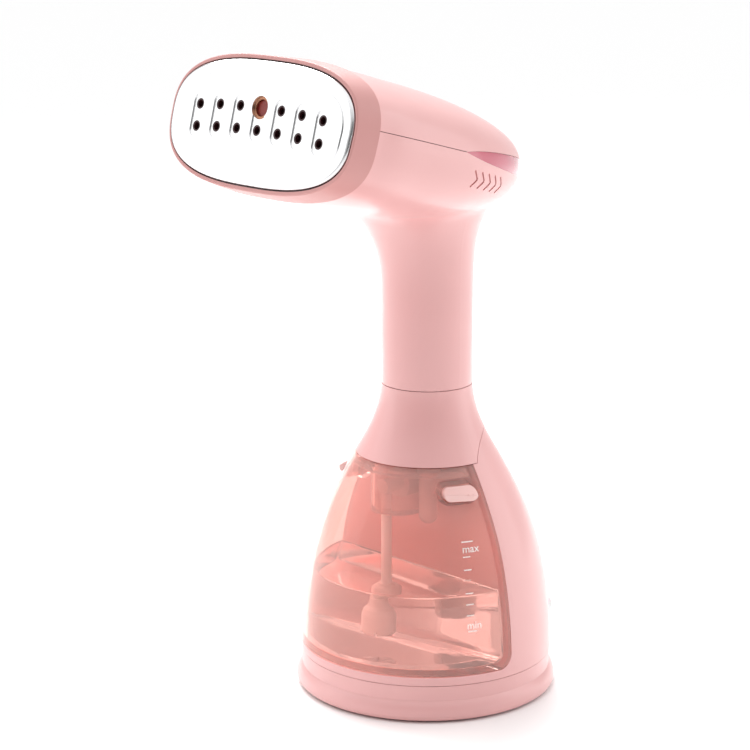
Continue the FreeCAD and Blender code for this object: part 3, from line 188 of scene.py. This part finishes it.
# ---------------------------------------------------------------- materials
def surface(name, group, values, shader_values):
    """Material whose Principled shader takes colour, roughness and normal from a shared group."""
    mat = bpy.data.materials.new(name)
    mat.use_nodes = True
    tree = mat.node_tree
    shader = tree.nodes["Principled BSDF"]
    effect = tree.nodes.new("ShaderNodeGroup")
    effect.node_tree = group
    for label, value in values.items():
        effect.inputs[label].default_value = value
    tree.links.new(effect.outputs["Color"], shader.inputs["Base Color"])
    tree.links.new(effect.outputs["Roughness"], shader.inputs["Roughness"])
    tree.links.new(effect.outputs["Normal"], shader.inputs["Normal"])
    for label, value in shader_values.items():
        shader.inputs[label].default_value = value
    mat.diffuse_color = values["Color"]
    return mat


def plastic(name, color, rough, grain=0.000002, coat=0.0, ripple=0.000006, drift=0.03, **more):
    values = {
        "Color": (*color, 1), "Roughness": rough, "Grain Depth": grain,
        "Ripple Depth": ripple, "Drift": drift, "Roughness Spread": 0.15 * rough,
    }
    return surface(name, MOULDED, values, {"Coat Weight": coat, "Coat Roughness": 0.14, **more})


def metal(name, color, rough, depth=0.000003, scale=900.0):
    values = {
        "Color": (*color, 1), "Roughness": rough, "Roughness Spread": 0.25 * rough,
        "Scratch Depth": depth, "Scratch Scale": scale,
    }
    return surface(name, BRUSHED, values, {"Metallic": 1.0})


SHADOW_CLEAR = 0.97       # lamp light that each face of a clear moulding lets through
SHADOW_TINT = 0.3         # how far that light takes on the moulding's colour


def clear_tinted(name, color, rough, ior, clearness, **more):
    """Clear moulding that lets lamp light through to what it holds; the rest of it is milky."""
    values = {
        "Color": (*color, 1), "Roughness": rough, "Roughness Spread": 0.2 * rough, "Drift": 0.01,
        "Grain Depth": 0.000002, "Ripple Depth": 0.000015,
    }
    mat = surface(name, MOULDED, values, {"Transmission Weight": clearness, "IOR": ior, **more})
    tree = mat.node_tree
    shader = tree.nodes["Principled BSDF"]
    through = tree.nodes.new("ShaderNodeBsdfTransparent")
    through.inputs["Color"].default_value = (*[SHADOW_CLEAR * c ** SHADOW_TINT for c in color], 1)
    rays = tree.nodes.new("ShaderNodeLightPath")
    mix = tree.nodes.new("ShaderNodeMixShader")
    tree.links.new(rays.outputs["Is Shadow Ray"], mix.inputs[0])
    tree.links.new(shader.outputs[0], mix.inputs[1])
    tree.links.new(through.outputs[0], mix.inputs[2])
    tree.links.new(mix.outputs[0], tree.nodes["Material Output"].inputs["Surface"])
    return mat


def finishes():
    """One material per finish of the object, by the record's slot name."""
    soft = {"Subsurface Weight": 0.2, "Subsurface Scale": 0.002}
    return {
        "shell_pink": plastic("shell_pink", (0.755, 0.405, 0.395), 0.34, coat=0.35),
        "bay_pink": plastic("bay_pink", (0.93, 0.36, 0.34), 0.35, coat=0.1),
        "bezel_pink": plastic("bezel_pink", (0.60, 0.285, 0.27), 0.42, grain=0.00002),
        "accent_rose": plastic("accent_rose", (0.55, 0.10, 0.15), 0.18, coat=0.6),
        "latch_pink": plastic("latch_pink", (0.84, 0.53, 0.50), 0.22, coat=0.4),
        "base_plastic": plastic("base_plastic", (0.52, 0.24, 0.23), 0.5, grain=0.00003),
        "foot_rubber": plastic("foot_rubber", (0.03, 0.028, 0.028), 0.75, grain=0.00005),
        "gland_pvc": plastic("gland_pvc", (0.72, 0.74, 0.74), 0.38, **soft),
        "works_plastic": plastic("works_plastic", (0.68, 0.66, 0.62), 0.42),
        "gasket_silicone": plastic("gasket_silicone", (0.035, 0.006, 0.008), 0.45),
        "bush_brass": metal("bush_brass", (0.42, 0.20, 0.12), 0.40),
        "plug_silicone": plastic("plug_silicone", (0.24, 0.018, 0.012), 0.4),
        "switch_black": plastic("switch_black", (0.012, 0.012, 0.013), 0.4),
        "pump_black": plastic("pump_black", (0.02, 0.02, 0.022), 0.45),
        "hose_silicone": plastic("hose_silicone", (0.92, 0.84, 0.81), 0.34, **soft),
        "weight_rose": plastic("weight_rose", (0.92, 0.80, 0.75), 0.34, coat=0.3),
        "loom_sleeve": plastic("loom_sleeve", (0.015, 0.015, 0.016), 0.7, grain=0.0001),
        "board_green": plastic("board_green", (0.01, 0.085, 0.028), 0.35),
        "tank_clear": clear_tinted("tank_clear", (0.985, 0.67, 0.615), 0.03, 1.12, 0.82,
                                   **{"Coat Weight": 0.5, "Coat Roughness": 0.05}),
        "plug_clear": clear_tinted("plug_clear", (0.92, 0.66, 0.62), 0.2, 1.2, 0.6),
        "water_clear": clear_tinted("water_clear", (0.985, 0.95, 0.94), 0.0, 1.33, 0.97),
        "mark_white": plastic("mark_white", (0.9, 0.86, 0.84), 0.5, grain=0.00001),
        "plate_steel": metal("plate_steel", (0.76, 0.76, 0.77), 0.20),
        "screw_steel": metal("screw_steel", (0.55, 0.55, 0.57), 0.38),
        "element_steel": metal("element_steel", (0.32, 0.31, 0.30), 0.38),
        "thermostat_steel": metal("thermostat_steel", (0.68, 0.68, 0.69), 0.20),
        "cast_aluminium": metal("cast_aluminium", (0.56, 0.56, 0.57), 0.45, depth=0.00002, scale=500.0),
    }


FINISH = finishes()


def dress_nodes():
    slots = {part["node"]: part["material_slot"] for part in frame["record"]["subparts"]}
    for name, node in nodes.items():
        node.data.materials.clear()
        node.data.materials.append(FINISH[slots[name]])


dress_nodes()


# ---------------------------------------------------------------- what the tank holds and shows
TANK_WALL = 0.0022
TANK_CORNER = 0.0038      # inside radius where the tank's floor meets its back
WATER_TOP = 0.0512
WATER_GAP = 0.00015       # kept between the water and the wall
WATER_MIDDLE_Y = -0.024   # the surface closes in toward here
WATER_AROUND = 96         # points along the curved wall
WATER_ROWS = 28           # rows up the side
MENISCUS_RISE = 0.0007
MENISCUS_REACH = 0.0008
SURFACE_REACH = 0.012     # width of the finer rows at the water's edge
SURFACE_ROWS = 14
HEIGHT_STEP = 0.001       # the tank's outline is read at this spacing


def tank_outline():
    """Largest radius of the tank's curved wall in each 1 mm of height: (heights, radii)."""
    mesh = nodes["tank_shell"].data
    points = np.empty(3 * len(mesh.vertices))
    mesh.vertices.foreach_get("co", points)
    points = points.reshape(-1, 3)
    reach = np.hypot(points[:, 0], points[:, 1])
    step = np.round(points[:, 2] / HEIGHT_STEP).astype(int)
    radii = np.zeros(step.max() + 1)
    np.maximum.at(radii, step, reach)
    heights = np.arange(len(radii)) * HEIGHT_STEP
    known = radii > 0.9 * np.interp(heights, heights[radii > 0.02], radii[radii > 0.02])
    return heights[known], radii[known]


TANK_HEIGHTS, TANK_RADII = tank_outline()


def tank_radius(height):
    return np.interp(height, TANK_HEIGHTS, TANK_RADII)


def grid_piece(name, points, closed=False):
    """Quads over a grid of points, shape (rows, columns, 3); closed joins the last column to the first."""
    rows, columns = points.shape[:2]
    index = np.arange(rows * columns).reshape(rows, columns)
    if closed:
        index = np.concatenate([index, index[:, :1]], axis=1)
    quads = np.stack([index[:-1, :-1], index[:-1, 1:], index[1:, 1:], index[1:, :-1]], axis=-1)
    return new_mesh(name, points.reshape(-1, 3), quads.reshape(-1, 4))


def new_mesh(name, points, faces):
    mesh = bpy.data.meshes.new(name)
    mesh.from_pydata(points.tolist(), [], faces.tolist())
    mesh.update()
    made = bpy.data.objects.new(name, mesh)
    bpy.context.scene.collection.objects.link(made)
    return made


def smooth(piece):
    piece.data.polygons.foreach_set("use_smooth", np.ones(len(piece.data.polygons), bool))


def water():
    """Water: at each height the tank's inside is a circle of the wall's inner radius cut by the flat back.
    Rows go up the side, then in across the surface, which climbs to the wall as a meniscus:
    rise = MENISCUS_RISE * exp(-distance from the wall / MENISCUS_REACH)."""
    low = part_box("tank_shell")[0].z + TANK_WALL + WATER_GAP
    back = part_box("tank_shell")[1].y - TANK_WALL - WATER_GAP
    side = np.linspace(low, WATER_TOP + MENISCUS_RISE, WATER_ROWS)
    inward = SURFACE_REACH * np.linspace(0, 1, SURFACE_ROWS)[1:] ** 2
    rim = WATER_TOP + MENISCUS_RISE * np.exp(-inward / MENISCUS_REACH)
    heights = np.concatenate([[low], side, rim, [WATER_TOP]])
    inset = np.concatenate([[SURFACE_REACH], np.zeros(WATER_ROWS), inward, [0.03]])
    radius = tank_radius(heights) - TANK_WALL - WATER_GAP
    rise = np.clip(heights - low, 0, TANK_CORNER)
    scoop = TANK_CORNER - np.sqrt(TANK_CORNER ** 2 - (TANK_CORNER - rise) ** 2)
    wall_y = back - scoop
    half = np.arccos(np.clip(-wall_y / radius, -1, 1))
    share = np.linspace(-1, 1, WATER_AROUND)
    turn = half[:, None] * share[None, :]
    x = radius[:, None] * np.sin(turn)
    y = -radius[:, None] * np.cos(turn)
    chord = np.linspace(1, -1, WATER_AROUND // 2 + 2)[1:-1]
    chord_x = (radius * np.sin(half))[:, None] * chord[None, :]
    chord_y = np.repeat(wall_y[:, None], len(chord), axis=1)
    x = np.concatenate([x, chord_x], axis=1)
    y = np.concatenate([y, chord_y], axis=1)
    keep = 1 - inset / 0.05
    x = x * keep[:, None]
    y = WATER_MIDDLE_Y + (y - WATER_MIDDLE_Y) * keep[:, None]
    points = np.stack([x, y, np.repeat(heights[:, None], x.shape[1], axis=1)], axis=-1)
    body = grid_piece("tank_water", points, closed=True)
    close_ends(body, len(heights), x.shape[1])
    smooth(body)
    return body


def close_ends(piece, rows, columns):
    """Fans the first and last row of a tube to a point at their middle."""
    mesh = piece.data
    points = np.empty(3 * len(mesh.vertices))
    mesh.vertices.foreach_get("co", points)
    points = points.reshape(rows, columns, 3)
    ends = np.stack([points[0].mean(axis=0), points[-1].mean(axis=0)])
    index = np.arange(rows * columns).reshape(rows, columns)
    quads = np.stack([index[:-1], np.roll(index[:-1], -1, 1), np.roll(index[1:], -1, 1), index[1:]], axis=-1)
    first = np.stack([np.roll(index[0], -1), index[0], np.full(columns, rows * columns)], axis=-1)
    last = np.stack([index[-1], np.roll(index[-1], -1), np.full(columns, rows * columns + 1)], axis=-1)
    faces = quads.reshape(-1, 4).tolist() + first.tolist() + last.tolist()
    mesh.clear_geometry()
    mesh.from_pydata(np.concatenate([points.reshape(-1, 3), ends]).tolist(), [], faces)
    mesh.update()


# ---- level marks printed on the tank's right side: angle from straight ahead, height in metres ----
MARK_LEFT = math.radians(64.0)
MARK_TICKS = (0.0677, 0.0626, 0.0580, 0.0533, 0.0488, 0.0443)
MARK_PROUD = 0.00006
MARK_LINE = 0.00045       # height of the top and low lines
MARK_TICK = 0.00040
WORD_SIZE = 0.0044


def on_tank(along, height, proud):
    """Point on the curved wall: arc length from the marks' left edge, height, and how proud it stands."""
    radius = tank_radius(height)
    turn = MARK_LEFT + along / radius
    return np.stack([(radius + proud) * np.sin(turn), -(radius + proud) * np.cos(turn), height], axis=-1)


def mark_bar(name, height, start, width, thick):
    """Printed bar: a grid over arc length and height, laid on the curved wall, with a closed edge."""
    along = start + width * np.array([0, 0, *np.linspace(0, 1, 9), 1, 1])
    proud = np.array([0, 1, *np.ones(9), 1, 0]) * MARK_PROUD
    across = thick * np.array([-0.5, -0.5, 0.5, 0.5])
    lift = np.array([0, 1, 1, 0])
    grid_along, grid_across = np.meshgrid(along, across, indexing="ij")
    grid_proud = np.minimum(proud[:, None], (lift * MARK_PROUD)[None, :])
    return grid_piece(name, on_tank(grid_along, height + grid_across, grid_proud)[:, ::-1])


def mark_word(word, height, size):
    """A word laid on the curved wall: letter x goes along the arc, letter y goes up, depth stands proud."""
    curve = bpy.data.curves.new(word, "FONT")
    curve.body = word
    curve.size = size
    curve.extrude = 0.5 * MARK_PROUD
    curve.resolution_u = 3
    flat = bpy.data.objects.new("flat_" + word, curve)
    bpy.context.scene.collection.objects.link(flat)
    graph = bpy.context.evaluated_depsgraph_get()
    mesh = bpy.data.meshes.new_from_object(flat.evaluated_get(graph))
    bpy.data.objects.remove(flat)
    points = np.empty(3 * len(mesh.vertices))
    mesh.vertices.foreach_get("co", points)
    x, y, z = points.reshape(-1, 3).T
    laid = on_tank(x, height + y, z + 0.5 * MARK_PROUD)
    mesh.vertices.foreach_set("co", laid.ravel())
    mesh.update()
    made = bpy.data.objects.new("mark_" + word, mesh)
    bpy.context.scene.collection.objects.link(made)
    return made


def level_marks():
    """Printed lines, ticks and words: height, start along the wall, width and thickness of each bar."""
    marks = [
        mark_bar("mark_top_line", 0.0735, 0.0, 0.0050, MARK_LINE),
        mark_word("max", 0.0693, WORD_SIZE),
        mark_word("min", 0.0388, WORD_SIZE),
        mark_bar("mark_low_line", 0.0378, 0.0004, 0.0040, MARK_LINE),
    ]
    marks += [
        mark_bar(f"mark_tick_{k}", height, 0.0, 0.0033, MARK_TICK)
        for k, height in enumerate(MARK_TICKS)
    ]
    for mark in marks:
        mark.data.materials.clear()
        mark.data.materials.append(FINISH["mark_white"])
        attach(mark, "tank")


level_marks()
held = water()
held.data.materials.append(FINISH["water_clear"])
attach(held, "tank")


# ---------------------------------------------------------------- stage
FLOOR_HALF = 6.0
FLOOR_DROP = 0.0002       # kept below the foot ring
PAPER = (0.94, 0.94, 0.94)
SUN_POWER = 1.1
SUN_ANGLE = 120
AIR_AWAY = 0.78           # world's strength away from the camera
AIR_CAMERA = 0.16         # and behind the camera
AIR_EDGE = 0.35           # cosine where it starts to dim


def floor():
    side = FLOOR_HALF
    corners = np.array([(-side, -side, 0), (side, -side, 0), (side, side, 0), (-side, side, 0)])
    plane = new_mesh("floor", corners - [0, 0, FLOOR_DROP], np.array([[0, 1, 2, 3]]))
    plane.data.materials.append(plastic("floor_paper", PAPER, 0.9, grain=0.0, ripple=0.0, drift=0.0))


def soft_light(name, turn, distance, height, width, tall, power, aim=(0, 0, 0.14)):
    """Area light round the object: turn is degrees from the camera's side, positive to its right."""
    angle = math.radians(CAMERA_TURN + turn)
    at = Vector((math.sin(angle) * distance, -math.cos(angle) * distance, height))
    lamp = bpy.data.lights.new(name, "AREA")
    lamp.shape = "RECTANGLE"
    lamp.size = width
    lamp.size_y = tall
    lamp.energy = power
    holder = bpy.data.objects.new(name, lamp)
    holder.location = at
    holder.rotation_euler = (Vector(aim) - at).to_track_quat("-Z", "Y").to_euler()
    bpy.context.scene.collection.objects.link(holder)


def studio():
    """Even overhead light on a pale floor, a box each side, and air that is dimmer on the camera's side."""
    sun = bpy.data.lights.new("overhead", "SUN")
    sun.energy = SUN_POWER
    sun.angle = math.radians(SUN_ANGLE)
    holder = bpy.data.objects.new("overhead", sun)
    holder.location = (0, 0, 3)
    bpy.context.scene.collection.objects.link(holder)
    soft_light("left_box", -95, 1.1, 0.40, 0.7, 1.2, 2.2)
    soft_light("right_box", 95, 1.1, 0.45, 0.7, 1.2, 2.9)
    soft_light("back_box", 198, 0.7, 0.95, 0.8, 0.6, 12.0)
    world = bpy.data.worlds.new("studio_air")
    bpy.context.scene.world = world
    world.use_nodes = True
    tree = world.node_tree
    back = tree.nodes["Background"]
    back.inputs["Color"].default_value = (1, 1, 1, 1)
    way = tree.nodes.new("ShaderNodeTexCoord").outputs["Generated"]
    facing = tree.nodes.new("ShaderNodeVectorMath")
    facing.operation = "DOT_PRODUCT"
    angle = math.radians(CAMERA_TURN)
    facing.inputs[1].default_value = (math.sin(angle), -math.cos(angle), 0)
    tree.links.new(way, facing.inputs[0])
    level = tree.nodes.new("ShaderNodeMapRange")
    level.interpolation_type = "SMOOTHSTEP"
    level.inputs["From Min"].default_value = AIR_EDGE
    level.inputs["From Max"].default_value = 1.0
    level.inputs["To Min"].default_value = AIR_AWAY
    level.inputs["To Max"].default_value = AIR_CAMERA
    tree.links.new(facing.outputs["Value"], level.inputs["Value"])
    tree.links.new(level.outputs["Result"], back.inputs["Strength"])


def camera():
    lens = bpy.data.cameras.new("camera")
    lens.lens = CAMERA_LENS
    lens.sensor_width = 36
    lens.clip_start = 0.01
    holder = bpy.data.objects.new("camera", lens)
    holder.location = CAMERA_AT
    holder.rotation_euler = (math.radians(90 - CAMERA_DIP), 0, math.radians(CAMERA_TURN))
    bpy.context.scene.collection.objects.link(holder)
    bpy.context.scene.camera = holder


floor()
studio()
camera()
bpy.context.scene.view_settings.view_transform = "Standard"
